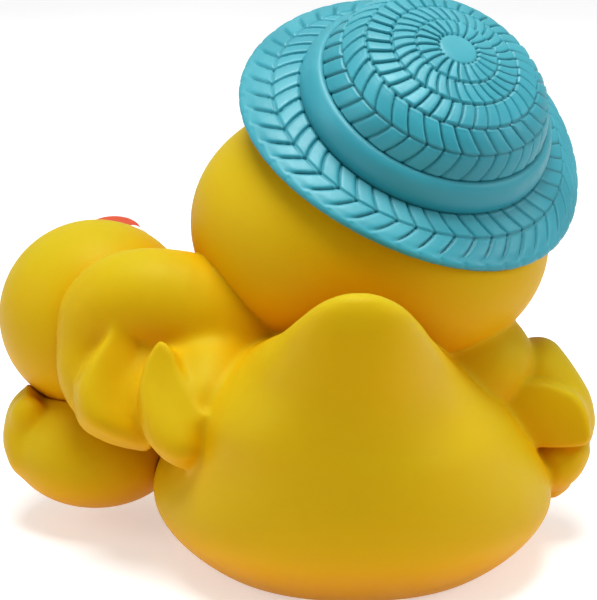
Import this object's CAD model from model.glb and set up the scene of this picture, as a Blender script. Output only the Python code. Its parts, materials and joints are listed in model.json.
import json
import math
import bpy
import numpy as np
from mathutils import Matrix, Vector


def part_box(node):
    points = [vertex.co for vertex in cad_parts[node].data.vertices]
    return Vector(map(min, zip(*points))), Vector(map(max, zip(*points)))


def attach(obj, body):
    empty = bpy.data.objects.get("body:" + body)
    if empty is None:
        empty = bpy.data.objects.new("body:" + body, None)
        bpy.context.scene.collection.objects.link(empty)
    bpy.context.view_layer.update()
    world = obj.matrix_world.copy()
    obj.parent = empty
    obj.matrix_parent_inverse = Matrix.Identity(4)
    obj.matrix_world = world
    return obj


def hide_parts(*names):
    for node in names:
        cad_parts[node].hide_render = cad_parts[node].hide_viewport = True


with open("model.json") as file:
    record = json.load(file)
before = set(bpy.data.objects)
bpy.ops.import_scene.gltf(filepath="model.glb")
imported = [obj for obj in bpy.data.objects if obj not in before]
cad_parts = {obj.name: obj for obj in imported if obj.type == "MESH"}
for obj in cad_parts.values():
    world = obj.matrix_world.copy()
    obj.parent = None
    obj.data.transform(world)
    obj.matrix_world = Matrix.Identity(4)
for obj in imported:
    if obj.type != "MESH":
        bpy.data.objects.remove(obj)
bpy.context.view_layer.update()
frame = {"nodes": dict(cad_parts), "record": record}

rng = np.random.default_rng(7)


# ------------------------------------------------------------------ distance fields, in millimetres
def rotm(ax, ay, az):
    ax, ay, az = np.radians([ax, ay, az])
    cx, sx, cy, sy, cz, sz = np.cos(ax), np.sin(ax), np.cos(ay), np.sin(ay), np.cos(az), np.sin(az)
    Rx = np.array([[1, 0, 0], [0, cx, -sx], [0, sx, cx]])
    Ry = np.array([[cy, 0, sy], [0, 1, 0], [-sy, 0, cy]])
    Rz = np.array([[cz, -sz, 0], [sz, cz, 0], [0, 0, 1]])
    return Rz @ Ry @ Rx


def ell(p, c, r, R=None):
    q = p - np.asarray(c, float)
    if R is not None:
        q = q @ R
    r = np.asarray(r, float)
    k0 = np.sqrt(((q / r) ** 2).sum(-1))
    k1 = np.sqrt(((q / (r * r)) ** 2).sum(-1))
    return k0 * (k0 - 1) / np.maximum(k1, 1e-9)


def cap(p, a, b, ra, rb):
    ab = b - a
    t = np.clip(((p - a) @ ab) / (ab @ ab), 0, 1)
    v = (p - a) - t[..., None] * ab
    return np.sqrt((v * v).sum(-1)) - (ra + (rb - ra) * t)


def smin(a, b, k):
    h = np.maximum(k - np.abs(a - b), 0) / k
    return np.minimum(a, b) - h * h * h * k / 6.0


def smax(a, b, k):
    return -smin(-a, -b, k)


def chain(p, pts, rs, k=6):
    """rounded tube along a Catmull-Rom curve through pts"""
    P, R = np.array(pts, float), np.array(rs, float)
    Pe = np.concatenate([[2 * P[0] - P[1]], P, [2 * P[-1] - P[-2]]])
    Re = np.concatenate([[2 * R[0] - R[1]], R, [2 * R[-1] - R[-2]]])
    Q, S = [], []
    for i in range(len(P) - 1):
        for t in (0, 1 / 3, 2 / 3):
            w = lambda v: 0.5 * (2 * v[1] + (v[2] - v[0]) * t + (2 * v[0] - 5 * v[1] + 4 * v[2] - v[3]) * t * t
                                 + (3 * v[1] - v[0] - 3 * v[2] + v[3]) * t ** 3)
            Q.append(w(Pe[i:i + 4]))
            S.append(w(Re[i:i + 4]))
    Q.append(P[-1])
    S.append(R[-1])
    d = None
    for i in range(len(Q) - 1):
        s = cap(p, Q[i], Q[i + 1], max(S[i], 0.5), max(S[i + 1], 0.5))
        d = s if d is None else smin(d, s, k)
    return d


def plane(p, o, n):
    n = np.asarray(n, float)
    return (p - np.asarray(o, float)) @ (n / np.linalg.norm(n))


def local(p, lo, hi, fn, pad=16.0):
    """fn only near its own box; far away a safe positive distance"""
    lo, hi = np.asarray(lo, float) - pad, np.asarray(hi, float) + pad
    m = ((p > lo) & (p < hi)).all(-1)
    out = np.full(p.shape[:-1], 60.0)
    if m.any():
        out[m] = fn(p[m])
    return out


def spline(x, y):
    """natural cubic spline"""
    x, y = np.asarray(x, float), np.asarray(y, float)
    n, h = len(x), np.diff(x)
    A, b = np.zeros((n, n)), np.zeros(n)
    A[0, 0] = A[-1, -1] = 1
    for i in range(1, n - 1):
        A[i, i - 1], A[i, i], A[i, i + 1] = h[i - 1], 2 * (h[i - 1] + h[i]), h[i]
        b[i] = 6 * ((y[i + 1] - y[i]) / h[i] - (y[i] - y[i - 1]) / h[i - 1])
    M = np.linalg.solve(A, b)

    def f(q):
        q = np.clip(q, x[0], x[-1])
        i = np.clip(np.searchsorted(x, q) - 1, 0, n - 2)
        H = h[i]
        a, c = (x[i + 1] - q) / H, (q - x[i]) / H
        return a * y[i] + c * y[i + 1] + ((a ** 3 - a) * M[i] + (c ** 3 - c) * M[i + 1]) * H * H / 6
    return f


class Stack:
    """solid of horizontal sections: z, half width, front y, rear y, y of the widest, x of the middle"""

    def __init__(s, rows, p=2.15):
        r = np.array(rows, float)
        s.z1, s.p = r[-1, 0], p
        u = np.sqrt(s.z1 + 0.6 - r[:, 0])[::-1]
        s.f = [spline(u, r[::-1, k]) for k in (1, 2, 3, 4, 5)]

    def F(s, x, y, z):
        u = np.sqrt(np.maximum(s.z1 + 0.6 - np.maximum(z, -2), 0.01))
        ax, yf, yr, ym, x0 = [f(u) for f in s.f]
        b = np.maximum(np.where(y > ym, yr - ym, ym - yf), 0.3)
        ax = np.maximum(ax, 0.3)
        v = (np.abs(x - x0) / ax) ** s.p + (np.abs(y - ym) / b) ** s.p
        return np.maximum(v, 1e-12) ** (1 / s.p) - 1

    def __call__(s, p):
        x, y, z = p[..., 0], p[..., 1], p[..., 2]
        zc = np.minimum(z, s.z1 - 0.3)
        f0, e = s.F(x, y, zc), 0.4
        gx = (s.F(x + e, y, zc) - f0) / e
        gy = (s.F(x, y + e, zc) - f0) / e
        gz = (f0 - s.F(x, y, zc - e)) / e
        d = np.clip(f0 / np.maximum(np.sqrt(gx * gx + gy * gy + gz * gz), 1 / 90.0), -30, 30)
        over = np.maximum(z - zc, 0)
        return np.where(over > 0, np.sqrt(np.maximum(d, 0) ** 2 + over ** 2) * 0.8 + np.minimum(d, 0) * 0.0, d)


class Face:
    """a flat datum in space with closed outlines drawn on it; each outline becomes a smooth signed distance"""

    def __init__(s, o, n, **outlines):
        s.o, s.n = np.array(o, float), np.array(n, float)
        s.a = np.cross([0, 0, 1], s.n)
        s.a /= np.linalg.norm(s.a)
        s.b = np.cross(s.n, s.a)
        for k, v in outlines.items():
            setattr(s, k, s.sheet(v))

    def sheet(s, pts, h=0.35, pad=14.0):
        P = np.array(pts, float)
        n = len(P)
        C = []
        for i in range(n):
            p0, p1, p2, p3 = P[i - 1], P[i], P[(i + 1) % n], P[(i + 2) % n]
            for t in (0, 0.25, 0.5, 0.75):
                C.append(0.5 * (2 * p1 + (p2 - p0) * t + (2 * p0 - 5 * p1 + 4 * p2 - p3) * t * t + (3 * p1 - p0 - 3 * p2 + p3) * t ** 3))
        C = np.array(C)
        lo = C.min(0) - pad
        N = np.ceil((C.max(0) + pad - lo) / h).astype(int) + 1
        U, V = np.meshgrid(lo[0] + np.arange(N[0]) * h, lo[1] + np.arange(N[1]) * h, indexing="ij")
        d = np.full(U.shape, 1e9)
        inside = np.zeros(U.shape, bool)
        for a, b in zip(C, np.roll(C, -1, 0)):
            e = b - a
            t = np.clip(((U - a[0]) * e[0] + (V - a[1]) * e[1]) / max(e @ e, 1e-12), 0, 1)
            d = np.minimum(d, (U - a[0] - t * e[0]) ** 2 + (V - a[1] - t * e[1]) ** 2)
            if a[1] != b[1]:
                cross = ((a[1] > V) != (b[1] > V)) & (U < (b[0] - a[0]) * (V - a[1]) / (b[1] - a[1]) + a[0])
                inside ^= cross
        d = np.sqrt(d) * np.where(inside, -1, 1)
        for _ in range(3):                    # soften the creases along the middle
            d[1:-1] = 0.25 * d[:-2] + 0.5 * d[1:-1] + 0.25 * d[2:]
            d[:, 1:-1] = 0.25 * d[:, :-2] + 0.5 * d[:, 1:-1] + 0.25 * d[:, 2:]

        def f(u, v):
            x, y = (u - lo[0]) / h, (v - lo[1]) / h
            xc, yc = np.clip(x, 0, N[0] - 1.001), np.clip(y, 0, N[1] - 1.001)
            i, j = xc.astype(int), yc.astype(int)
            fx, fy = xc - i, yc - j
            w = (d[i, j] * (1 - fx) + d[i + 1, j] * fx) * (1 - fy) + (d[i, j + 1] * (1 - fx) + d[i + 1, j + 1] * fx) * fy
            return w + np.hypot(x - xc, y - yc) * h
        return f

    def at(s, p):
        q = p - s.o
        return q @ s.a, q @ s.b, q @ s.n


def leaf(p, F, S, r, back, cup=0.0, half=18.0, mid=0.0):
    """feather end: a face with outline F.inner whose sides round out to F.outer at depth S; cup hollows the face along its length"""
    a, b, s = F.at(p)
    s = s - cup * (np.clip((b - mid) / half, -1.6, 1.6) ** 2)
    di, do = F.inner(a, b), F.outer(a, b)
    g = np.sqrt(np.maximum(1 - (1 - np.clip(-s / S, 0, 1)) ** 2, 0))
    d = smax(di * (1 - g) + do * g, s, r)
    return smax(d, -s - back, 3.0)


def puff(p, F, R, depth):
    """pillow with the outline F.rim, R round its edge and depth thick either way"""
    a, b, s = F.at(p)
    d = F.rim(a, b) + R
    return np.where(d > 0, np.sqrt(np.maximum(d, 0) ** 2 + (s * R / depth) ** 2), np.abs(s) * R / depth) - R


# anchors in mm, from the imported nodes' boxes; bills and eyes sit on their head
def box_mm(node):
    lo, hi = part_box(node)
    return np.array([v * 1000.0 for v in lo]), np.array([v * 1000.0 for v in hi])


def centre_mm(node):
    lo, hi = box_mm(node)
    return (lo + hi) / 2


BODY_OFF = centre_mm("duck_body") - np.array([9.785, -1.305, 63.9])        # drawn about this centre
DKB_OFF = centre_mm("duckling_body") - np.array([107.375, -30.0, 30.85])


def torso(p):
    return TORSO(p - BODY_OFF)


# torso and tail
TORSO = Stack([
    (0, 57.5, -57.5, 57.0, 0, 0), (3, 62, -62.5, 61, 0, 0), (8, 68.3, -69.5, 66.5, 0, 0), (16, 75.5, -77, 74, 0, 0),
    (25, 79.8, -81, 80, 0, 0), (35, 77.8, -80, 84, 1, 0.2), (45.5, 71.8, -76, 86.5, 2, 0.4), (55.5, 66, -69, 87, 5, 1.2),
    (63.5, 61.2, -62, 87, 10, 2.8), (70, 56.5, -52, 86.3, 15, 4.8), (77, 50.5, -38, 85.6, 20.5, 5.4),
    (84, 44, -22, 85.2, 28, 4.4), (91, 38.3, -5, 85.3, 37, 3.2), (98, 33.8, 14, 86, 47, 2.2), (105, 29.2, 32, 87, 57, 1.2),
    (112, 25.1, 47, 88, 65.5, 0.5), (118, 21.3, 59, 88.4, 72, 0.2), (122.5, 18.0, 66, 88, 76.5, 0),
    (126, 14.6, 71.5, 87.2, 79.2, 0), (128.6, 10.6, 75.2, 86, 80.6, 0), (130.2, 6.6, 77.6, 84.6, 81.1, 0),
    (131.0, 3.0, 79.6, 82.8, 81.2, 0)])


F2 = Face((99.1, 29.0, 72.4), (-0.2999, 0.7998, 0.5199),
    inner=[(12.5, 28.3), (15.1, 26.8), (16.3, 22.2), (16.1, 16.6), (14.9, 10.7), (13.0, 5.2), (11.8, -1.4), (10.8, -9.3), (6.2, -8.3), (2.5, -6.7), (0.3, -2.8), (-0.6, 1.3), (-0.4, 6.8), (2.1, 14.6), (6.0, 21.0), (9.2, 25.9)],
    outer=[(12.2, 29.2), (16.1, 27.9), (18.4, 22.8), (19.3, 15.8), (18.9, 9.0), (17.3, -0.1), (17.2, -10.1), (18.0, -16.6), (19.7, -21.2), (17.5, -19.9), (11.0, -17.7), (4.7, -14.9), (-0.7, -11.2), (-3.5, -8.7), (-5.3, -5.7), (-6.3, -1.6), (-6.3, 3.1), (-5.5, 7.4), (-2.1, 13.8), (2.5, 19.4), (7.8, 24.8)])
F3 = Face((62.7, 46.0, 73.7), (0.2222, 0.7474, 0.6262),
    inner=[(-16.4, 26.0), (-11.6, 22.5), (-7.9, 15.9), (-2.9, 8.2), (3.1, 1.7), (6.9, -0.7), (2.7, -1.3), (-1.0, -0.9), (-7.9, -0.4), (-12.8, 0.7), (-16.7, 2.7), (-20.2, 5.7), (-21.8, 9.6), (-21.3, 16.6), (-19.3, 22.6)],
    outer=[(-16.5, 26.6), (-10.9, 23.4), (-6.6, 16.4), (-1.4, 8.8), (4.7, 2.5), (7.4, -0.8), (7.2, -3.7), (6.1, -8.2), (5.1, -13.1), (2.2, -16.2), (-1.9, -17.7), (-6.8, -17.2), (-13.1, -14.3), (-17.5, -10.7), (-20.4, -6.6), (-22.8, -1.1), (-24.1, 4.9), (-24.1, 10.6), (-23.3, 16.4), (-20.8, 22.0)])
RA = Face((-79.3, -20.0, 57.2), (0.0000, 0.9563, 0.2924),
    rim=[(-7.0, 23.3), (-2.9, 23.9), (0.8, 23.3), (4.3, 21.3), (7.8, 17.2), (11.5, 12.1), (15.1, 6.5), (18.0, 1.2), (19.6, -4.3), (20.3, -9.8), (19.8, -14.3), (18.0, -19.2), (12.3, -23.3), (2.0, -23.3), (-8.2, -17.2), (-16.4, -7.0), (-19.6, 2.9), (-17.2, 13.5), (-12.3, 20.0)])
RB = Face((-76.7, 5.0, 55.5), (0.0816, 0.9891, 0.1224),
    inner=[(-18.9, 10.1), (-13.4, 12.5), (-7.1, 13.7), (0.4, 13.1), (6.8, 10.8), (11.2, 8.5), (14.6, 3.3), (16.5, -3.2), (16.5, -7.7), (11.4, -10.1), (-1.3, -10.7), (-5.7, -8.4), (-11.8, -2.4), (-16.8, 4.4)],
    outer=[(-20.5, 10.8), (-14.3, 14.1), (-7.2, 15.1), (0.4, 14.5), (7.6, 12.2), (12.4, 9.7), (16.5, 4.1), (18.3, -3.1), (18.1, -8.9), (13.4, -11.5), (-1.2, -12.1), (-7.3, -10.0), (-13.8, -3.7), (-18.8, 3.5)])
RC = Face((-87.2, -10.0, 32.6), (0.0000, 0.9563, 0.2924),
    rim=[(-9.8, 9.0), (-1.2, 9.8), (7.3, 9.0), (10.0, 5.7), (10.0, 2.9), (8.8, -0.8), (6.9, -4.5), (4.3, -7.8), (1.2, -10.2), (-3.3, -12.2), (-8.2, -11.4), (-12.2, -4.1), (-13.1, 4.1)])
RD = Face((-85.4, -16.0, 20.6), (0.0000, 0.9563, 0.2924),
    rim=[(-5.4, 6.6), (1.6, 5.8), (4.9, 3.3), (5.4, 0.0), (3.7, -2.7), (1.2, -4.7), (-1.0, -6.0), (-3.7, -6.4), (-7.4, -4.1), (-9.5, 1.6)])


def left_wing(p):
    palm = chain(p, [(36.4, -16.0, 80.1), (58.9, -8.0, 94.0), (77.3, -4.0, 102.8), (91.6, -5.0, 102.4), (100.9, -8.0, 94.0)], [25, 22, 17.5, 15.5, 14.6], 10)
    f1 = chain(p, [(100.9, -8.0, 94.0), (103.3, -5.0, 82.8), (103.2, 0.0, 71.5), (98.1, 6.0, 62.2), (91.3, 8.0, 56.6)], [14.6, 13.0, 12.2, 9.5, 6], 6)
    web = chain(p, [(57.8, -6.0, 82.1), (61.3, 8.0, 75.9), (64.7, 22.0, 69.1)], [17, 16, 14], 8)      # root of the feathers
    web = smin(web, chain(p, [(48.9, -4.0, 81.9), (54.7, 14.0, 76.3), (57.7, 30.0, 71.2)], [14, 15, 13], 8), 8)
    web = smin(web, chain(p, [(80.5, 2.0, 83.9), (82.3, 13.0, 73.0), (82.1, 19.0, 62.7)], [9, 9, 10], 8), 8)
    d = smin(smin(palm, f1, 8), web, 7)
    f2 = leaf(p, F2, 8.5, 3.6, 16.0, 1.6, 20.0, 0.0)
    f3 = leaf(p, F3, 12.0, 3.2, 22.0, 2.6, 17.0, 4.0)
    return smin(smin(d, f2, 5.0), f3, 7.0)


def right_wing(p):
    sh = chain(p, [(-27.7, -14.0, 63.6), (-41.8, -14.0, 70.1), (-52.2, -14.0, 73.9)], [24, 21.5, 20.4], 10)
    a = puff(p, RA, 16.5, 18.0)
    b = leaf(p, RB, 4.0, 1.8, 17.0, -2.5, 16.0, 0.0)
    c = puff(p, RC, 10.0, 13.0)
    e = puff(p, RD, 6.0, 11.0)
    d = smin(smin(sh, a, 6), b, 2.6)
    return smin(smin(d, c, 2.4), e, 2.4)


# hat frame
HO = centre_mm("sun_hat") + np.array([-1.36, 2.205, -1.495])
HR = np.array([[0.9425, 0.0907, -0.3217], [0.0866, 0.8632, 0.4972], [0.3228, -0.4965, 0.8058]])
HR[:, 2] /= np.linalg.norm(HR[:, 2])
HR[:, 0] -= HR[:, 2] * (HR[:, 0] @ HR[:, 2])
HR[:, 0] /= np.linalg.norm(HR[:, 0])
HR[:, 1] = np.cross(HR[:, 2], HR[:, 0])
SADDLE, SADDLE_AT = 4.33, math.radians(-104)


def brim_lift(r, ph):
    return SADDLE * np.cos(2 * (ph - SADDLE_AT)) * np.clip((r - 48) / 22, 0, 1.15) ** 1.5


# heads
HC = np.append(centre_mm("duck_head")[:2], box_mm("duck_head")[0][2] + 55.03)
HD = np.array([[0.9902, 0.1036, -0.0939], [-0.0893, 0.9854, 0.145], [0.1075, -0.1352, 0.985]])
HEAD_R = np.array([72.4, 60.0, 54.7])
KC = centre_mm("duckling_head")
KR = (box_mm("duckling_head")[1] - box_mm("duckling_head")[0]) / 2


def main_head(p):
    return ell(p, HC, HEAD_R, HD)


def head_outer(p):
    d = main_head(p)
    q = (p - HO) @ HR
    r = np.sqrt(q[..., 0] ** 2 + q[..., 1] ** 2)
    ph = np.arctan2(q[..., 1], q[..., 0])
    up = q[..., 2] - brim_lift(r, ph) - (0.6 - 0.36 * np.clip(r - 50, 0, 40))      # positive above the brim's underside
    d = smax(d, np.where(r < 76, up, -99.0), 1.5)
    return smin(d, ell(p, HO - 14 * HR[:, 2], (49.3, 49.3, 45.8), HR), 2.5)


def dk_head_outer(p):
    return ell(p, KC, KR)


def base_cut(p, d):
    """flat foot, the unit's recess and its opening"""
    r = np.sqrt(p[..., 0] ** 2 + p[..., 1] ** 2)
    d = smax(d, -p[..., 2], 2.0)
    return d, r


def figure(p):
    d = torso(p)
    p = p - BODY_OFF
    lw = local(p, (25, -45, 40), (122, 62, 125), left_wing)
    rw = local(p, (-105, -50, 12), (-20, 20, 95), right_wing)
    return smin(smin(d, lw, 5.0), rw, 5.0)


WALL = 2.8


def body_field(p):
    h = main_head(p)
    k = 0.3 + 4.2 * np.clip((103.0 - p[..., 2]) / 14.0, 0, 1)       # the neck flows into the head
    d = smin(figure(p), h + 0.5, k)
    d = smax(d, -2.2 - h, 0.8)
    d = smax(d, 0.25 - dk_head_outer(p), 0.8)
    d, r = base_cut(p, d)
    hollow = smax(torso(p) + WALL, WALL + 0.4 - h, 1.0)                        # inside of the float
    hollow = np.maximum(hollow, np.where(r < 55.5, 13.0, 6.0) - p[..., 2])
    hollow = np.maximum(hollow, p[..., 2] - 118.0)
    d = np.maximum(d, -hollow)
    d = np.maximum(d, np.minimum(54.3 - r, 3.9 - p[..., 2]))
    d = np.maximum(d, np.minimum(48.8 - r, 14.0 - p[..., 2]))
    rr = np.sqrt((p[..., 1] + 86.3) ** 2 + (p[..., 2] - 30.0) ** 2)
    lug = np.where(p[..., 1] > -84.0, np.sqrt(np.maximum(np.abs(p[..., 0]) - 1.0, 0) ** 2 + np.maximum(np.abs(p[..., 2] - 30.0) - 4.0, 0) ** 2) - 1.8,
                   np.sqrt(np.maximum(np.abs(p[..., 0]) - 1.0, 0) ** 2 + np.maximum(rr - 4.0, 0) ** 2) - 1.6)
    lug = np.maximum(lug, p[..., 1] + 78.0)
    lug = smax(lug, 2.5 - rr, 0.6)
    return smin(d, lug, 2.0)


KW = Face((133.7, -27.0, 39.4), (0.0000, 0.9563, 0.2924),
    rim=[(0.8, 19.1), (-1.7, 17.4), (-4.1, 15.3), (-7.0, 11.6), (-8.8, 7.0), (-9.9, 1.2), (-10.2, -2.3), (-9.8, -7.0), (-7.9, -12.4), (-5.2, -16.6), (-2.5, -18.4), (0.4, -18.9), (3.3, -18.2), (7.0, -14.5), (9.5, -8.3), (10.4, 0.0), (9.1, 8.3), (5.8, 15.7)])


def dk_body_outer(p):
    p = p - DKB_OFF
    d = ell(p, (105.5, -30.0, 32.7), (36, 34, 25.8))
    w = puff(p, KW, 9.6, 15.0)
    up = ell(p, (131.9, -17.5, 48.6), (7.2, 6.0, 8.2))
    low = ell(p, (134.0, -18.0, 31.8), (6.4, 6.0, 8.0))
    w = smin(smin(w, up, 3.4), low, 3.4)
    return smin(d, w, 3.4)


def dk_body_field(p):
    d = dk_body_outer(p)
    d = smax(d, 0.25 - torso(p), 0.8)
    return smax(d, 0.25 - dk_head_outer(p), 0.8)



# ------------------------------------------------------------------ meshes from fields
def surface(field, lo, hi, h, project=3):
    """closed quad mesh of field = 0 by surface nets, with the vertices pulled onto the surface"""
    B = 6
    n = np.ceil((np.array(hi, float) - lo) / h / B).astype(int)
    lo = np.array(lo, float)
    N = n * B + 1
    cz = [lo[k] + (np.arange(n[k]) * B + B / 2) * h for k in range(3)]
    C = np.stack(np.meshgrid(*cz, indexing="ij"), -1).reshape(-1, 3)
    dc = field(C)
    near = np.abs(dc) < B * h * 0.87 * 1.35 + 1.0
    big = np.repeat(np.repeat(np.repeat(np.sign(dc).reshape(n), B, 0), B, 1), B, 2) * 50.0
    V = np.full(N, 50.0)
    V[:-1, :-1, :-1] = big
    idx = np.stack(np.unravel_index(np.nonzero(near)[0], n), -1) * B
    o = np.stack(np.meshgrid(*[np.arange(B + 1)] * 3, indexing="ij"), -1).reshape(-1, 3)
    flat = (idx[:, None, :] + o[None]).reshape(-1, 3)
    key = np.unique((flat[:, 0] * N[1] + flat[:, 1]) * N[2] + flat[:, 2])
    ijk = np.stack(np.unravel_index(key, N), -1)
    for a in range(0, len(ijk), 400000):
        q = ijk[a:a + 400000]
        V[q[:, 0], q[:, 1], q[:, 2]] = field(lo + q * h)
    S = V < 0
    c = [S[i:N[0] - 1 + i, j:N[1] - 1 + j, k:N[2] - 1 + k] for i in (0, 1) for j in (0, 1) for k in (0, 1)]
    tot = sum(x.astype(np.int8) for x in c)
    cells = np.argwhere((tot > 0) & (tot < 8))
    cid = -np.ones(np.array(N) - 1, np.int64)
    cid[cells[:, 0], cells[:, 1], cells[:, 2]] = np.arange(len(cells))
    acc, cnt = np.zeros((len(cells), 3)), np.zeros(len(cells))
    corners = [(i, j, k) for i in (0, 1) for j in (0, 1) for k in (0, 1)]
    for a in corners:
        for ax in range(3):
            if a[ax]:
                continue
            b = list(a)
            b[ax] = 1
            va = V[cells[:, 0] + a[0], cells[:, 1] + a[1], cells[:, 2] + a[2]]
            vb = V[cells[:, 0] + b[0], cells[:, 1] + b[1], cells[:, 2] + b[2]]
            m = (va < 0) != (vb < 0)
            t = va[m] / (va[m] - vb[m])
            pt = np.tile(np.array(a, float), (m.sum(), 1))
            pt[:, ax] += t
            acc[m] += pt
            cnt[m] += 1
    P = lo + (cells + acc / cnt[:, None]) * h
    quads = []
    for ax in range(3):
        sl0, sl1 = [slice(None)] * 3, [slice(None)] * 3
        sl0[ax], sl1[ax] = slice(0, -1), slice(1, None)
        A, Bv = S[tuple(sl0)], S[tuple(sl1)]
        e = np.argwhere(A != Bv)
        u, v = (ax + 1) % 3, (ax + 2) % 3
        e = e[(e[:, u] > 0) & (e[:, v] > 0) & (e[:, u] < N[u] - 1) & (e[:, v] < N[v] - 1)]
        inside = A[e[:, 0], e[:, 1], e[:, 2]]
        def at(du, dv):
            q = e.copy()
            q[:, u] -= du
            q[:, v] -= dv
            return cid[q[:, 0], q[:, 1], q[:, 2]]
        f = np.stack([at(1, 1), at(0, 1), at(0, 0), at(1, 0)], -1)
        f[~inside] = f[~inside][:, ::-1]
        quads.append(f)
    Q = np.concatenate(quads)
    for it in range(project):
        e = 0.15
        d0 = field(P)
        g = np.stack([field(P + np.eye(3)[k] * e) - d0 for k in range(3)], -1) / e
        g2 = np.maximum((g * g).sum(-1), 0.15)
        step = np.clip(d0 / g2, -0.45 * h, 0.45 * h)
        if it == 0:                      # a light relax keeps the quads even before the last pulls
            nb, w = np.zeros_like(P), np.zeros(len(P))
            for a, b in ((0, 1), (1, 2), (2, 3), (3, 0)):
                np.add.at(nb, Q[:, a], P[Q[:, b]])
                np.add.at(nb, Q[:, b], P[Q[:, a]])
                np.add.at(w, Q[:, a], 1)
                np.add.at(w, Q[:, b], 1)
            P = P * 0.5 + 0.5 * nb / w[:, None]
            continue
        P = P - g * step[:, None]
    return P, Q


def to_mesh(name, P, Q, smooth=True, attrs=None):
    """object from vertices in mm and an array of quads"""
    me = bpy.data.meshes.new(name)
    P = np.asarray(P, float) / 1000.0
    Q = np.asarray(Q)
    k = Q.shape[1]
    me.vertices.add(len(P))
    me.vertices.foreach_set("co", P.astype(np.float32).ravel())
    me.loops.add(len(Q) * k)
    me.loops.foreach_set("vertex_index", Q.astype(np.int32).ravel())
    me.polygons.add(len(Q))
    me.polygons.foreach_set("loop_start", (np.arange(len(Q)) * k).astype(np.int32))
    me.polygons.foreach_set("use_smooth", np.full(len(Q), smooth))
    for an, av in (attrs or {}).items():
        a = me.attributes.new(an, "FLOAT", "POINT")
        a.data.foreach_set("value", np.asarray(av, np.float32))
    me.update(calc_edges=True)
    me.validate()
    ob = bpy.data.objects.new(name, me)
    bpy.context.scene.collection.objects.link(ob)
    return ob


def frame_of(direction, hint=(0, 0, 1)):
    z = np.asarray(direction, float)
    z = z / np.linalg.norm(z)
    h = np.asarray(hint, float)
    y = h - z * (h @ z)
    y /= np.linalg.norm(y)
    return np.stack([np.cross(y, z), y, z], 1)        # columns: sideways, up, outwards


def on_ellipsoid(c, r, R, d):
    """point of the ellipsoid in direction d from its centre, and the normal there"""
    q = R.T @ np.asarray(d, float)
    k = 1.0 / math.sqrt(((q / r) ** 2).sum())
    n = R @ (q * k / r ** 2)
    return c + R @ (q * k), n / np.linalg.norm(n)


# ------------------------------------------------------------------ the figure's castings
H = 1.25
P, Q = surface(body_field, (-103, -94, -3), (121, 92, 131), H)
duck_body = to_mesh("duck_body_skin", P, Q)
P, Q = surface(head_outer, (-84, -92, 66), (72, 38, 216), H)
duck_head = to_mesh("duck_head_skin", P, Q)
P, Q = surface(dk_body_field, (66, -68, 2), (148, 8, 62), H)
dk_body = to_mesh("duckling_body_skin", P, Q)
P, Q = surface(dk_head_outer, (62, -83, 42), (148, -1, 127), H)
dk_head = to_mesh("duckling_head_skin", P, Q)
for ob, node in ((duck_body, "duck_body"), (duck_head, "duck_head"), (dk_body, "duckling_body"), (dk_head, "duckling_head")):
    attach(ob, "float")
    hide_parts(node)


# ------------------------------------------------------------------ bills
def bill_field(origin, R, s, lift=0.012):
    """two lips of a duck's bill in its own frame: x sideways, y up, z forwards; s scales the duck's 1.0"""
    def f(p):
        q = ((p - origin) @ R) / s
        x, y, z = q[..., 0], q[..., 1], q[..., 2]
        bend = lift * np.clip(z, 0, 40) ** 2 + 0.0075 * x * x
        top = ell(np.stack([x, y - 3.6 - bend, z - 4.0], -1), (0, 0, 0), (25.5, 7.2, 26.0))
        bridge = ell(np.stack([x, y - 6.5 - 0.5 * bend, z + 2.0], -1), (0, 0, 0), (13.0, 8.5, 17.0))
        top = smin(top, bridge, 6.0)
        lip = y - bend + 1.6
        top = smax(top, -lip, 1.2)
        low = ell(np.stack([x, y + 4.6 - bend, z - 1.5], -1), (0, 0, 0), (20.5, 6.4, 21.0))
        low = smax(low, lip + 1.1, 1.2)
        core = ell(np.stack([x, y + 1.5 - bend, z + 1.0], -1), (0, 0, 0), (22.0, 7.0, 20.0))
        d = smin(smin(top, low, 0.8), np.maximum(core, np.abs(lip + 0.5) - 2.2), 0.6)
        for sx in (-1, 1):
            nose = ell(np.stack([x - sx * (6.2 + 0.10 * z), y - 12.6 - 0.30 * bend, z - 8.0], -1), (0, 0, 0), (1.5, 2.2, 3.4))
            d = smax(d, -nose, 1.2)
        return d * s
    return f


face = np.array([-0.1036, -0.9854, 0.1352])
hx, hz = HD[:, 0], HD[:, 2]


def on_head(u, w):
    k = math.sqrt(max(0.0, 1.0 - (u / HEAD_R[0]) ** 2 - (w / HEAD_R[2]) ** 2))
    n = hx * (u / HEAD_R[0] ** 2) + hz * (w / HEAD_R[2] ** 2) - HD[:, 1] * (k / HEAD_R[1])
    return HC + hx * u + hz * w - HD[:, 1] * (HEAD_R[1] * k), n / np.linalg.norm(n)


bp, bn = on_head(0.0, -12.0)
BR = frame_of(face)
bf = bill_field(bp, BR, 1.0)
bill_f = lambda p: smax(bf(p), 0.0 - main_head(p) - 3.0, 0.6)
c0, c1 = np.minimum(bp, bp + face * 32) - 32, np.maximum(bp, bp + face * 32) + 32
P, Q = surface(bill_f, c0, c1, 0.7)
bill = to_mesh("duck_bill_lips", P, Q)
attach(bill, "float")
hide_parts("duck_bill")

kf = np.array([-0.10, -0.84, 0.54])
kf /= np.linalg.norm(kf)
KF = frame_of(kf)
ID = np.eye(3)


def on_dk(u, w):
    d = KF[:, 0] * u + KF[:, 1] * w + kf * math.sqrt(max(0.0, 1 - u * u - w * w))
    return on_ellipsoid(np.array(KC), KR, ID, d)


kp, kn = on_dk(0.0, -0.04)
kbf = bill_field(kp, KF, 0.53, 0.002)
kbill_f = lambda p: smax(kbf(p), 0.0 - dk_head_outer(p) - 2.5, 0.4)
P, Q = surface(kbill_f, kp - 20, kp + 20, 0.45)
kbill = to_mesh("duckling_bill_lips", P, Q)
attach(kbill, "float")
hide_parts("duckling_bill")


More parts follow.
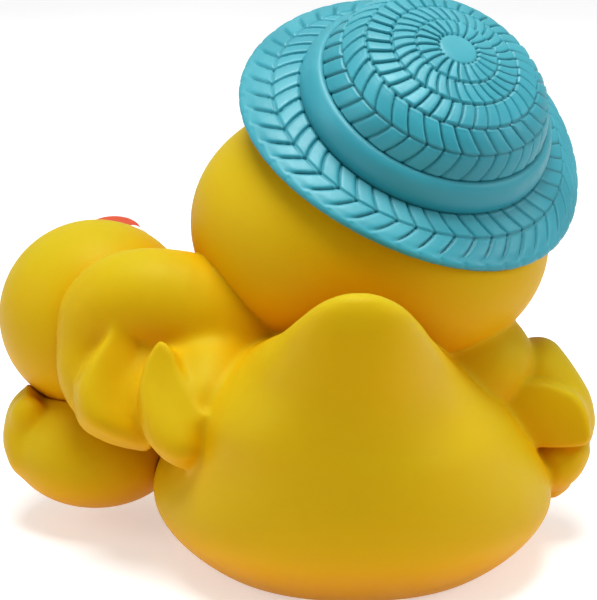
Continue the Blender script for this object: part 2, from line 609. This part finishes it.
# ------------------------------------------------------------------ eyes: low domes, with their own flat coordinates for the paint
def eye(name, p, n, up, a, b, depth):
    R = frame_of(n, up)
    nr, nc = 28, 72
    V, eu, ev = [p + R @ np.array([0, 0, depth])], [0.0], [0.0]
    for i in range(1, nr + 1):
        rho = math.sin(0.5 * math.pi * i / nr)
        w = depth * math.cos(0.5 * math.pi * i / nr) ** 0.9
        for j in range(nc):
            t = 2 * math.pi * j / nc
            V.append(p + R @ np.array([a * rho * math.cos(t), b * rho * math.sin(t), w]))
            eu.append(rho * math.cos(t))
            ev.append(rho * math.sin(t))
    for j in range(nc):
        t = 2 * math.pi * j / nc
        V.append(p + R @ np.array([a * 0.9 * math.cos(t), b * 0.9 * math.sin(t), -2.4]))
        eu.append(math.cos(t))
        ev.append(math.sin(t))
    V.append(p + R @ np.array([0, 0, -2.8]))
    eu.append(1.0)
    ev.append(0.0)
    F = [(0, 1 + j, 1 + (j + 1) % nc) for j in range(nc)]
    for i in range(nr):
        s0, s1 = 1 + i * nc, 1 + (i + 1) * nc
        for j in range(nc):
            k = (j + 1) % nc
            F += [(s0 + j, s1 + j, s1 + k), (s0 + j, s1 + k, s0 + k)]
    last, s0 = len(V) - 1, 1 + nr * nc
    F += [(s0 + j, last, s0 + (j + 1) % nc) for j in range(nc)]
    return to_mesh(name, np.array(V), np.array(F), attrs={"eu": eu, "ev": ev})


eyes = []
for side, nm in ((-1, "right"), (1, "left")):
    p, n = on_head(side * 20.5, 9.0)
    eyes.append(eye("duck_eye_" + nm, p - n * 0.4, n, (0, 0, 1), 8.0, 11.0, 3.2))
for e in eyes:
    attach(e, "float")
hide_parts("duck_eyes")
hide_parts("duck_eyes")
keyes = []
for side, nm in ((-1, "right"), (1, "left")):
    p, n = on_dk(side * 0.36, 0.36)
    keyes.append(eye("duckling_eye_" + nm, p - n * 0.3, n, tuple(KF[:, 1]), 4.6, 6.2, 2.1))
for e in keyes:
    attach(e, "float")
    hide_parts("duckling_eyes")


# ------------------------------------------------------------------ the plaited sun hat
def polyspline(pts, step):
    """points along a smooth curve through pts, about step apart"""
    P = np.array(pts, float)
    t = np.concatenate([[0], np.cumsum(np.sqrt((np.diff(P, axis=0) ** 2).sum(1)))])
    fr, fh = spline(t, P[:, 0]), spline(t, P[:, 1])
    n = max(2, int(round(t[-1] / step)))
    s = np.linspace(0, t[-1], n + 1)
    return np.stack([fr(s), fh(s)], 1)


CROWN = [(0, 42.9), (4, 42.85), (8.2, 42.35), (16.8, 41.0), (26.0, 38.9), (35.4, 35.4), (40.6, 30.9), (42.6, 28.3), (44.8, 23.4), (46.0, 18.2)]
BAND = [(46.0, 18.2), (47.6, 18.5), (49.3, 17.4), (51.0, 14.4), (52.0, 11.0), (52.2, 8.0), (51.7, 5.6)]
BRIM = [(51.7, 5.4), (56.0, 4.1), (61.6, 2.0), (66.5, -0.4), (70.3, -2.6)]
EDGE = [(70.3, -2.6), (71.4, -3.6), (71.7, -4.6), (71.1, -5.6), (70.0, -5.9)]
UNDER = [(70.0, -5.9), (66.0, -4.4), (60.0, -1.9), (54.0, 0.6), (49.0, 2.2), (46.6, 3.4)]
INNER = [(46.6, 3.4), (45.4, 8.0), (44.6, 14.0), (43.0, 20.5), (39.8, 27.6), (33.8, 33.0), (25.0, 36.4), (14.0, 38.9), (0.0, 40.4)]
fine = 0.5
crown_pts, band_pts = polyspline(CROWN, fine), polyspline(BAND, 0.6)
brim_pts, edge_pts = polyspline(BRIM, fine), polyspline(EDGE, 0.5)
under_pts, inner_pts = polyspline(UNDER, 1.2), polyspline(INNER, 4.0)
# zones: inner radius, outer radius, tiles round, slant (mm sideways for each mm outwards), pillow, step, groove
RINGS = [("button", 0.0, 7.9, 0, 0, 0, 0, 0),
         ("ring", 7.9, 16.8, 22, 0.06, 0.50, 0.60, 0.62), ("ring", 16.8, 26.0, 32, 0.36, 0.45, 0.60, 0.62),
         ("ring", 26.0, 35.2, 36, -0.20, 0.50, 0.85, 0.75), ("ring", 35.2, 42.4, 35, 0.60, 0.45, 0.55, 0.60),
         ("ring", 42.4, 46.0, 36, -0.50, 0.45, 0.55, 0.60)]


def rows_of():
    """every row of the hat: r, h, zone name, v across the zone, zone length, and the zone's numbers"""
    rows = []
    s = np.concatenate([[0], np.cumsum(np.sqrt((np.diff(crown_pts, axis=0) ** 2).sum(1)))])
    s_at = lambda r: float(np.interp(r, crown_pts[:, 0], s))
    for i, (r, h) in enumerate(crown_pts):
        for z in RINGS:
            if r <= z[2] + 1e-6 or z is RINGS[-1]:
                a, b = s_at(z[1]), s_at(z[2])
                rows.append((r, h, z[0], min(1.0, (s[i] - a) / (b - a)), b - a, z[3:]))
                break
    for pts, nm in ((band_pts, "band"), ):
        for i, (r, h) in enumerate(pts[1:]):
            rows.append((r, h, nm, (i + 1) / (len(pts) - 1), 14.0, (0, 0, 0, 0, 0)))
    s = np.concatenate([[0], np.cumsum(np.sqrt((np.diff(brim_pts, axis=0) ** 2).sum(1)))])
    m = float(np.interp(61.4, brim_pts[:, 0], s))
    for i, (r, h) in enumerate(brim_pts):
        if s[i] <= m:
            rows.append((r, h, "brim_in", s[i] / m, m, (46, 0.62, 0.45, 0.55, 0.70)))
        else:
            rows.append((r, h, "brim_out", (s[i] - m) / (s[-1] - m), s[-1] - m, (46, -0.80, 0.60, 0.50, 1.00)))
    for pts, nm in ((edge_pts, "edge"), (under_pts, "under"), (inner_pts, "inner")):
        for i, (r, h) in enumerate(pts[1:]):
            rows.append((r, h, nm, (i + 1) / (len(pts) - 1), 8.0, (46, 0, 0, 0, 0)))
    return rows


def sstep(x, a, b):
    t = np.clip((x - a) / (b - a), 0, 1)
    return t * t * (3 - 2 * t)


def hat_mesh():
    rows = rows_of()
    NC = 968
    ph = np.arange(NC) * 2 * np.pi / NC
    rh = np.array([(r[0], r[1]) for r in rows])
    t = np.gradient(rh, axis=0)
    t /= np.maximum(np.linalg.norm(t, axis=1, keepdims=True), 1e-9)
    nrm = np.stack([-t[:, 1], t[:, 0]], 1)              # outwards: up on the crown and brim
    ph_w = ph + 0.010 * np.sin(3 * ph + 0.7) + 0.006 * np.sin(7 * ph + 2.1) + 0.004 * np.sin(13 * ph + 4.0)
    verts, cav, tile = [], [], []
    tone = {}
    for k, (r, h, zn, v, L, (n, slant, pillow, step, groove)) in enumerate(rows):
        d, g, tn = np.zeros(NC), np.zeros(NC), np.zeros(NC)
        if zn == "button":
            d += 0.30 * (1 - sstep(v, 0.86, 0.99)) - 0.25 * sstep(v, 0.94, 1.0)
            g += 0.9 * sstep(v, 0.93, 1.0)
        elif zn in ("ring", "brim_in", "brim_out"):
            rm = {22: 12.4, 32: 21.5, 36: 31.0, 35: 39.5, 46: 56.5}.get(n, 44.6)
            if zn == "ring" and r > 42.3:
                rm = 44.6
            if zn == "brim_out":
                rm = 66.0
            pitch = 2 * np.pi * rm / n
            bow = 0.35 * (2 * v - 1) ** 2 * (1 if slant >= 0 else -1)       # the straws curve a little
            x = ph_w * n / (2 * np.pi) - (slant * (v - 0.5) * L + bow) / pitch + 0.37 * (k * 0 + {22: 1, 32: 2, 36: 3, 35: 4, 46: 5}.get(n, 6))
            c = np.floor(x).astype(int)
            u = x - c
            key = (zn, n)
            if key not in tone:
                tone[key] = (rng.uniform(-1, 1, n), rng.uniform(0.75, 1.25, n), rng.uniform(-0.10, 0.10, n))
            tr, ta, tv = [q[c % n] for q in tone[key]]
            e = np.minimum(u, 1 - u) * pitch * max(0.35, (r / rm))
            side = (u < 0.5)
            wid = np.where(side, 0.62, 0.36)
            fade = 1.0
            if zn == "brim_out":
                fade = 1 - sstep(v, 0.62, 0.97)
            if zn == "brim_in":
                fade = 1 - 0.4 * sstep(v, 0.0, 0.12) * 0
            cut = np.exp(-(e / wid) ** 2) * ta * fade
            round_u = 1 - (2 * u - 1) ** 4
            d += pillow * round_u * (0.55 + 0.45 * fade) + step * (u - 0.5) * fade * (0.8 + 0.4 * tr) - groove * cut
            lipv = 1 - (2 * v - 1) ** 6 if zn != "brim_out" else 1 - (1 - v) ** 7
            d += 0.42 * lipv + 0.30 * (v - 0.5) * (zn != "brim_out")
            edge_d = np.minimum(v, 1 - v if zn != "brim_out" else 9.0) * L
            seam = np.exp(-(edge_d / 0.38) ** 2)
            d -= 0.50 * seam
            d += 0.22 * np.exp(-((min(v, 1 - v) * L - 1.0) / 0.35) ** 2) if zn != "brim_out" else 0.22 * np.exp(-((v * L - 1.0) / 0.35) ** 2)
            g += np.clip(0.90 * cut ** 1.5 + 0.70 * seam ** 1.5, 0, 1)
            tn += tr
        elif zn == "edge":
            x = ph_w * 46 / (2 * np.pi) + 0.37 * 5 + 0.42 * 4.5 / 9.0
            u = x - np.floor(x)
            d += 0.42 + 0.60 * 0.55 * (1 - (2 * u - 1) ** 4) * (1 - sstep(v, 0.3, 1.0)) - 0.42 * sstep(v, 0.3, 1.0)
        elif zn == "band":
            d += 0.15 * np.sin(np.pi * v)
            g += 0.5 * (1 - sstep(v, 0.0, 0.10)) + 0.9 * sstep(v, 0.93, 1.0)
        elif zn == "under":
            w = np.cos(2 * np.pi * (r - 48) / 7.2)
            d += 0.25 * w * (1 if v < 0.85 else 0)
            g += 0.35 * (w < -0.6)
        ramp = min(1.0, max(0.0, r / 3.0))
        rr = r + nrm[k, 0] * d * ramp
        hh = h + nrm[k, 1] * d
        hh = hh + brim_lift(np.full(NC, r), ph) * (1.0 if zn != "inner" else 0.0) * (1.0 if r > 48 else 0.0)
        verts.append(np.stack([rr * np.cos(ph), rr * np.sin(ph), hh], 1))
        cav.append(g)
        tile.append(tn)
    V = np.stack(verts)                                   # rows, columns, 3
    top, bot = V[0].mean(0), V[-1].mean(0)
    body = V[1:-1]
    nrw = len(body)
    pts = np.concatenate([top[None], body.reshape(-1, 3), bot[None]])
    g = np.concatenate([[0], np.array(cav[1:-1]).ravel(), [0]])
    tn = np.concatenate([[0], np.array(tile[1:-1]).ravel(), [0]])
    i, j = np.meshgrid(np.arange(nrw - 1), np.arange(NC), indexing="ij")
    a = 1 + i * NC + j
    b = 1 + i * NC + (j + 1) % NC
    quads = np.stack([a, a + NC, b + NC, b], -1).reshape(-1, 4)
    last = len(pts) - 1
    jj = np.arange(NC)
    k1 = (jj + 1) % NC
    tris_t = np.stack([np.zeros(NC, int), 1 + jj, 1 + k1], -1)
    s0 = 1 + (nrw - 1) * NC
    tris_b = np.stack([s0 + jj, np.full(NC, last), s0 + k1], -1)
    pts = HO + pts @ HR.T
    me = bpy.data.meshes.new("sun_hat_plait")
    loops = np.concatenate([quads.ravel(), tris_t.ravel(), tris_b.ravel()])
    sizes = np.concatenate([np.full(len(quads), 4), np.full(2 * NC, 3)])
    starts = np.concatenate([[0], np.cumsum(sizes)[:-1]])
    me.vertices.add(len(pts))
    me.vertices.foreach_set("co", (pts / 1000.0).astype(np.float32).ravel())
    me.loops.add(len(loops))
    me.loops.foreach_set("vertex_index", loops.astype(np.int32))
    me.polygons.add(len(sizes))
    me.polygons.foreach_set("loop_start", starts.astype(np.int32))
    me.polygons.foreach_set("use_smooth", np.ones(len(sizes), bool))
    for an, av in (("cav", g), ("tone", tn)):
        at = me.attributes.new(an, "FLOAT", "POINT")
        at.data.foreach_set("value", av.astype(np.float32))
    me.update(calc_edges=True)
    me.validate()
    ob = bpy.data.objects.new("sun_hat_plait", me)
    bpy.context.scene.collection.objects.link(ob)
    return ob


hat = hat_mesh()
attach(hat, "float")
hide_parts("sun_hat")


# ------------------------------------------------------------------ materials
def new_mat(name):
    m = bpy.data.materials.new(name)
    m.use_nodes = True
    nt = m.node_tree
    return m, nt, nt.nodes["Principled BSDF"]


def add(nt, kind, **kw):
    n = nt.nodes.new(kind)
    for k, v in kw.items():
        if k in n.inputs:
            n.inputs[k].default_value = v
        else:
            setattr(n, k, v)
    return n


def ramp(nt, src, stops):
    r = nt.nodes.new("ShaderNodeValToRGB")
    e = r.color_ramp.elements
    while len(e) > 1:
        e.remove(e[-1])
    e[0].position, e[0].color = stops[0][0], (*stops[0][1], 1)
    for pos, col in stops[1:]:
        x = e.new(pos)
        x.color = (*col, 1)
    nt.links.new(src, r.inputs[0])
    return r


def scaled(nt, a, b, src, lo, hi):
    m = nt.nodes.new("ShaderNodeMapRange")
    m.inputs["From Min"].default_value, m.inputs["From Max"].default_value = a, b
    m.inputs["To Min"].default_value, m.inputs["To Max"].default_value = lo, hi
    nt.links.new(src, m.inputs["Value"])
    return m.outputs["Result"]


def obj_coord(nt):
    return nt.nodes.new("ShaderNodeTexCoord").outputs["Object"]


def noise(nt, co, scale, detail=2.0, rough=0.5):
    n = nt.nodes.new("ShaderNodeTexNoise")
    n.inputs["Scale"].default_value = scale
    n.inputs["Detail"].default_value = detail
    n.inputs["Roughness"].default_value = rough
    nt.links.new(co, n.inputs["Vector"])
    return n.outputs["Fac"]


def bump(nt, bsdf, layers):
    """layers: (height socket, distance in m, strength), stacked"""
    prev = None
    for hgt, dist, st in layers:
        b = nt.nodes.new("ShaderNodeBump")
        b.inputs["Distance"].default_value = dist
        b.inputs["Strength"].default_value = st
        nt.links.new(hgt, b.inputs["Height"])
        if prev:
            nt.links.new(prev, b.inputs["Normal"])
        prev = b.outputs["Normal"]
    nt.links.new(prev, bsdf.inputs["Normal"])


def vinyl(name, dark, mid, light, rough=0.36, sss=0.22, radius=(1.0, 0.42, 0.06), scale=0.007, tint=(1.0, 0.85, 0.25), spec=0.38):
    m, nt, b = new_mat(name)
    co = obj_coord(nt)
    n1 = noise(nt, co, 14.0, 3.0)
    n2 = noise(nt, co, 70.0, 3.0)
    c = ramp(nt, n1, [(0.30, dark), (0.50, mid), (0.72, light)])
    nt.links.new(c.outputs["Color"], b.inputs["Base Color"])
    nt.links.new(scaled(nt, 0.3, 0.7, n2, rough - 0.04, rough + 0.05), b.inputs["Roughness"])
    b.inputs["Subsurface Weight"].default_value = sss
    b.inputs["Subsurface Radius"].default_value = radius
    b.inputs["Subsurface Scale"].default_value = scale
    b.inputs["Specular IOR Level"].default_value = spec
    b.inputs["Specular Tint"].default_value = (*tint, 1)
    grain = noise(nt, co, 1500.0, 2.0)
    soft = noise(nt, co, 38.0, 2.0)
    bump(nt, b, [(soft, 0.0004, 0.35), (grain, 0.00005, 0.16)])
    return m


def yellow_material():
    """soft yellow vinyl: lemon where it is open to the light, deeper orange in its folds"""
    m, nt, b = new_mat("yellow_vinyl")
    co = obj_coord(nt)
    ao = nt.nodes.new("ShaderNodeAmbientOcclusion")
    ao.samples = 6
    ao.inputs["Distance"].default_value = 0.035
    sep = nt.nodes.new("ShaderNodeSeparateXYZ")
    nt.links.new(nt.nodes.new("ShaderNodeNewGeometry").outputs["Normal"], sep.inputs[0])
    n1 = noise(nt, co, 14.0, 3.0)
    t = add(nt, "ShaderNodeMath", operation="MULTIPLY_ADD")
    nt.links.new(ao.outputs["AO"], t.inputs[0])
    t.inputs[1].default_value = 0.55
    nt.links.new(scaled(nt, -1.0, 1.0, sep.outputs["Z"], 0.0, 0.45), t.inputs[2])
    u = add(nt, "ShaderNodeMath", operation="ADD")
    nt.links.new(t.outputs[0], u.inputs[0])
    nt.links.new(scaled(nt, 0.3, 0.7, n1, -0.03, 0.03), u.inputs[1])
    c = ramp(nt, u.outputs[0], [(0.25, (0.70, 0.290, 0.0005)), (0.50, (0.645, 0.320, 0.0004)), (0.74, (0.585, 0.335, 0.0008)), (0.97, (0.50, 0.372, 0.008))])
    nt.links.new(c.outputs["Color"], b.inputs["Base Color"])
    nt.links.new(scaled(nt, 0.3, 0.7, noise(nt, co, 70.0, 3.0), 0.44, 0.54), b.inputs["Roughness"])
    b.inputs["Subsurface Weight"].default_value = 0.28
    b.inputs["Subsurface Radius"].default_value = (1.0, 0.6, 0.08)
    b.inputs["Subsurface Scale"].default_value = 0.004
    b.inputs["Specular IOR Level"].default_value = 0.14
    b.inputs["Specular Tint"].default_value = (0.9, 1.0, 0.25, 1)
    bump(nt, b, [(noise(nt, co, 38.0, 2.0), 0.0004, 0.30), (noise(nt, co, 1500.0, 2.0), 0.00005, 0.15)])
    return m


YELLOW = yellow_material()
CORAL = vinyl("coral_vinyl", (0.46, 0.055, 0.022), (0.55, 0.078, 0.032), (0.60, 0.100, 0.042), rough=0.30, sss=0.12,
              radius=(1.0, 0.2, 0.1), tint=(1.0, 0.7, 0.6), spec=0.45)


def hat_material():
    m, nt, b = new_mat("hat_vinyl")
    co = obj_coord(nt)
    cav = add(nt, "ShaderNodeAttribute", attribute_name="cav").outputs["Fac"]
    tone = add(nt, "ShaderNodeAttribute", attribute_name="tone").outputs["Fac"]
    n1, n2 = noise(nt, co, 30.0, 3.0), noise(nt, co, 240.0, 4.0, 0.65)
    base = ramp(nt, n1, [(0.30, (0.036, 0.280, 0.340)), (0.50, (0.044, 0.310, 0.370)), (0.72, (0.060, 0.345, 0.405))])
    mixt = add(nt, "ShaderNodeMixRGB", blend_type="MULTIPLY")
    mixt.inputs[0].default_value = 1.0
    nt.links.new(base.outputs["Color"], mixt.inputs[1])
    tv = ramp(nt, scaled(nt, -1.0, 1.0, tone, 0.0, 1.0), [(0.0, (0.93, 0.95, 0.95)), (1.0, (1.08, 1.05, 1.05))])
    nt.links.new(tv.outputs["Color"], mixt.inputs[2])
    deep = add(nt, "ShaderNodeMixRGB", blend_type="MIX")
    deep.inputs[2].default_value = (0.010, 0.140, 0.165, 1)
    nt.links.new(mixt.outputs["Color"], deep.inputs[1])
    nt.links.new(scaled(nt, 0.10, 1.0, cav, 0.0, 0.62), deep.inputs[0])
    sep = nt.nodes.new("ShaderNodeSeparateXYZ")               # deeper towards the shaded sides
    nt.links.new(nt.nodes.new("ShaderNodeNewGeometry").outputs["Normal"], sep.inputs[0])
    up = ramp(nt, scaled(nt, -1.0, 1.0, sep.outputs["Z"], 0.0, 1.0), [(0.30, (0.38, 0.74, 0.79)), (0.68, (0.60, 0.91, 0.95)), (0.93, (1.12, 0.93, 0.93))])
    tint = add(nt, "ShaderNodeMixRGB", blend_type="MULTIPLY")
    tint.inputs[0].default_value = 1.0
    nt.links.new(deep.outputs["Color"], tint.inputs[1])
    nt.links.new(up.outputs["Color"], tint.inputs[2])
    nt.links.new(tint.outputs["Color"], b.inputs["Base Color"])
    nt.links.new(scaled(nt, 0.3, 0.7, n2, 0.36, 0.50), b.inputs["Roughness"])
    b.inputs["Specular IOR Level"].default_value = 0.45
    b.inputs["Specular Tint"].default_value = (0.75, 0.95, 1.0, 1)
    b.inputs["Subsurface Weight"].default_value = 0.06
    b.inputs["Subsurface Radius"].default_value = (0.2, 0.7, 1.0)
    b.inputs["Subsurface Scale"].default_value = 0.002
    bump(nt, b, [(noise(nt, co, 420.0, 3.0, 0.6), 0.00012, 0.25), (noise(nt, co, 1600.0, 2.0), 0.00005, 0.15)])
    return m


def eye_material():
    m, nt, b = new_mat("painted_eye")
    u = add(nt, "ShaderNodeAttribute", attribute_name="eu").outputs["Fac"]
    v = add(nt, "ShaderNodeAttribute", attribute_name="ev").outputs["Fac"]

    def disc(cx, cy, rx, ry, soft=0.03):
        def ax(s, c, r):
            a = add(nt, "ShaderNodeMath", operation="SUBTRACT")
            nt.links.new(s, a.inputs[0])
            a.inputs[1].default_value = c
            d = add(nt, "ShaderNodeMath", operation="DIVIDE")
            nt.links.new(a.outputs[0], d.inputs[0])
            d.inputs[1].default_value = r
            p = add(nt, "ShaderNodeMath", operation="MULTIPLY")
            nt.links.new(d.outputs[0], p.inputs[0])
            nt.links.new(d.outputs[0], p.inputs[1])
            return p.outputs[0]
        s = add(nt, "ShaderNodeMath", operation="ADD")
        nt.links.new(ax(u, cx, rx), s.inputs[0])
        nt.links.new(ax(v, cy, ry), s.inputs[1])
        q = add(nt, "ShaderNodeMath", operation="SQRT")
        nt.links.new(s.outputs[0], q.inputs[0])
        return scaled(nt, 1.0 - soft, 1.0 + soft, q.outputs[0], 1.0, 0.0)
    co = obj_coord(nt)
    white = ramp(nt, noise(nt, co, 60.0), [(0.3, (0.80, 0.80, 0.78)), (0.7, (0.88, 0.88, 0.86))])
    cur = white.outputs["Color"]
    for mask, col in ((disc(0, 0, 1.02, 1.02, 0.02), None), (disc(0.0, -0.10, 0.62, 0.64), (0.008, 0.008, 0.010)), (disc(0.20, 0.16, 0.17, 0.14), (0.9, 0.9, 0.9))):
        if col is None:
            continue
        mx = add(nt, "ShaderNodeMixRGB", blend_type="MIX")
        mx.inputs[2].default_value = (*col, 1)
        nt.links.new(mask, mx.inputs[0])
        nt.links.new(cur, mx.inputs[1])
        cur = mx.outputs["Color"]
    nt.links.new(cur, b.inputs["Base Color"])
    nt.links.new(scaled(nt, 0.3, 0.7, noise(nt, co, 300.0), 0.12, 0.20), b.inputs["Roughness"])
    bump(nt, b, [(noise(nt, co, 500.0), 0.00003, 0.15)])
    return m


def moulded(name, dark, light, rough, grain=900.0, gdist=0.00006, gst=0.3, metal=0.0, speck=None, spec=0.5, brushed=False):
    m, nt, b = new_mat(name)
    co = obj_coord(nt)
    big = noise(nt, co, 25.0, 4.0)
    c = ramp(nt, big, [(0.3, dark), (0.7, light)])
    cur = c.outputs["Color"]
    if speck:
        sp = noise(nt, co, speck[0], 2.0, 0.7)
        mx = add(nt, "ShaderNodeMixRGB", blend_type="MULTIPLY")
        nt.links.new(scaled(nt, 0.52, 0.70, sp, 0.0, speck[2]), mx.inputs[0])
        nt.links.new(cur, mx.inputs[1])
        mx.inputs[2].default_value = (*speck[1], 1)
        cur = mx.outputs["Color"]
    nt.links.new(cur, b.inputs["Base Color"])
    vec = co
    if brushed:
        mp = add(nt, "ShaderNodeMapping")
        mp.inputs["Scale"].default_value = (1.0, 1.0, 30.0)
        nt.links.new(co, mp.inputs["Vector"])
        vec = mp.outputs["Vector"]
    fine_n = noise(nt, vec, grain, 3.0, 0.6)
    nt.links.new(scaled(nt, 0.3, 0.7, fine_n, rough * 0.82, rough * 1.2), b.inputs["Roughness"])
    b.inputs["Metallic"].default_value = metal
    b.inputs["Specular IOR Level"].default_value = spec
    bump(nt, b, [(big, 0.0003, 0.10), (fine_n, gdist, gst)])
    return m


HATM, EYE = hat_material(), eye_material()
SLOTS = {
    "yellow_vinyl": YELLOW, "coral_vinyl": CORAL, "hat_vinyl": HATM, "black_gloss": EYE,
    "white_plastic": moulded("white_plastic", (0.70, 0.72, 0.71), (0.80, 0.81, 0.79), 0.36, 1100.0),
    "blue_plastic": moulded("blue_plastic", (0.018, 0.200, 0.330), (0.028, 0.250, 0.390), 0.34, 1100.0),
    "clear_plug": moulded("natural_plug", (0.62, 0.62, 0.56), (0.72, 0.72, 0.66), 0.30, 800.0),
    "stainless": moulded("stainless", (0.55, 0.55, 0.54), (0.66, 0.66, 0.65), 0.26, 1400.0, 0.00003, 0.35, 1.0, brushed=True),
    "coated_steel": moulded("coated_steel", (0.025, 0.028, 0.032), (0.045, 0.048, 0.052), 0.45, 600.0, 0.0001, 0.4),
    "gasket_rubber": moulded("gasket_rubber", (0.012, 0.012, 0.012), (0.026, 0.026, 0.026), 0.62, 700.0, 0.00008, 0.5),
    "chlorine": moulded("chlorine_tablet", (0.78, 0.80, 0.77), (0.88, 0.89, 0.86), 0.85, 1500.0, 0.0003, 0.9,
                        speck=(1300.0, (0.72, 0.78, 0.78), 0.6)),
}
slot_of = {s["node"]: s["material_slot"] for s in frame["record"]["subparts"]}
for node, ob in frame["nodes"].items():
    if ob.hide_render:
        continue
    mat = SLOTS[slot_of[node]]
    if not ob.material_slots:
        ob.data.materials.append(mat)
    for s in ob.material_slots:
        s.material = mat
for ob, mat in ((duck_body, YELLOW), (duck_head, YELLOW), (dk_body, YELLOW), (dk_head, YELLOW), (bill, CORAL), (kbill, CORAL), (hat, HATM)):
    ob.data.materials.append(mat)
for e in eyes + keyes:
    e.data.materials.append(EYE)


# ------------------------------------------------------------------ floor, light, camera
def floor():
    """a lit white table: pale from above, clear from below so that the underside can be looked at"""
    me = bpy.data.meshes.new("floor")
    s = 9.0
    me.from_pydata([(-s, -s, 0), (s, -s, 0), (s, s, 0), (-s, s, 0)], [], [(0, 1, 2, 3)])
    ob = bpy.data.objects.new("floor", me)
    ob.location.z = -0.0006
    bpy.context.scene.collection.objects.link(ob)
    m, nt, b = new_mat("pale_floor")
    co = obj_coord(nt)
    c = ramp(nt, noise(nt, co, 6.0, 3.0), [(0.3, (0.80, 0.80, 0.80)), (0.7, (0.84, 0.84, 0.84))])
    seen = nt.nodes.new("ShaderNodeLightPath").outputs["Is Camera Ray"]
    pale = add(nt, "ShaderNodeMixRGB")                        # little light comes back up from it
    nt.links.new(scaled(nt, 0.0, 1.0, seen, 0.80, 1.0), pale.inputs[0])
    pale.inputs[1].default_value = (0.10, 0.10, 0.10, 1)
    nt.links.new(c.outputs["Color"], pale.inputs[2])
    nt.links.new(pale.outputs["Color"], b.inputs["Base Color"])
    b.inputs["Roughness"].default_value = 0.9
    b.inputs["Specular IOR Level"].default_value = 0.1
    b.inputs["Emission Color"].default_value = (1, 1, 1, 1)
    nt.links.new(scaled(nt, 0.0, 1.0, seen, 0.32, 0.42), b.inputs["Emission Strength"])
    clear = nt.nodes.new("ShaderNodeBsdfTransparent")
    mix = nt.nodes.new("ShaderNodeMixShader")
    nt.links.new(nt.nodes.new("ShaderNodeNewGeometry").outputs["Backfacing"], mix.inputs[0])
    nt.links.new(b.outputs[0], mix.inputs[1])
    nt.links.new(clear.outputs[0], mix.inputs[2])
    nt.links.new(mix.outputs[0], nt.nodes["Material Output"].inputs["Surface"])
    me.materials.append(m)


floor()


def area(name, loc, look, size, power, color=(1, 1, 1)):
    L = bpy.data.lights.new(name, "AREA")
    L.shape, L.size, L.energy, L.color = "DISK", size, power, color
    o = bpy.data.objects.new(name, L)
    o.location = loc
    o.rotation_mode = "QUATERNION"
    o.rotation_quaternion = (Vector(look) - Vector(loc)).to_track_quat("-Z", "Y")
    bpy.context.scene.collection.objects.link(o)


area("top", (0.05, 0.05, 1.30), (0.0, 0.0, 0.10), 0.8, 19.0)
area("left", (1.25, 0.25, 0.60), (0.0, 0.0, 0.10), 0.7, 3.4)
area("right", (-1.25, 0.25, 0.60), (0.0, 0.0, 0.10), 0.7, 5.5)
w = bpy.data.worlds.new("studio")
bpy.context.scene.world = w
w.use_nodes = True
bg = w.node_tree.nodes["Background"]
bg.inputs["Color"].default_value = (1.0, 1.0, 1.0, 1)
path = w.node_tree.nodes.new("ShaderNodeLightPath")
lit = w.node_tree.nodes.new("ShaderNodeMapRange")
lit.inputs["To Min"].default_value, lit.inputs["To Max"].default_value = 0.36, 1.0
w.node_tree.links.new(path.outputs["Is Camera Ray"], lit.inputs["Value"])
w.node_tree.links.new(lit.outputs["Result"], bg.inputs["Strength"])

cam = bpy.data.cameras.new("camera")
cam.lens, cam.sensor_width = 135.0, 36.0
co_ = bpy.data.objects.new("camera", cam)
az, el, dist = math.radians(180.0), math.radians(17.0), 0.905
back = Vector((math.sin(az) * math.cos(el), -math.cos(az) * math.cos(el), math.sin(el)))
target = Vector((0.0216, -0.01649, 0.09894))
co_.location = target + back * dist
co_.rotation_mode = "QUATERNION"
co_.rotation_quaternion = (-back).to_track_quat("-Z", "Y")
cam.clip_start, cam.clip_end = 0.02, 50
bpy.context.scene.collection.objects.link(co_)
bpy.context.scene.camera = co_
bpy.context.scene.view_settings.view_transform = "Standard"
bpy.context.scene.view_settings.look = "None"
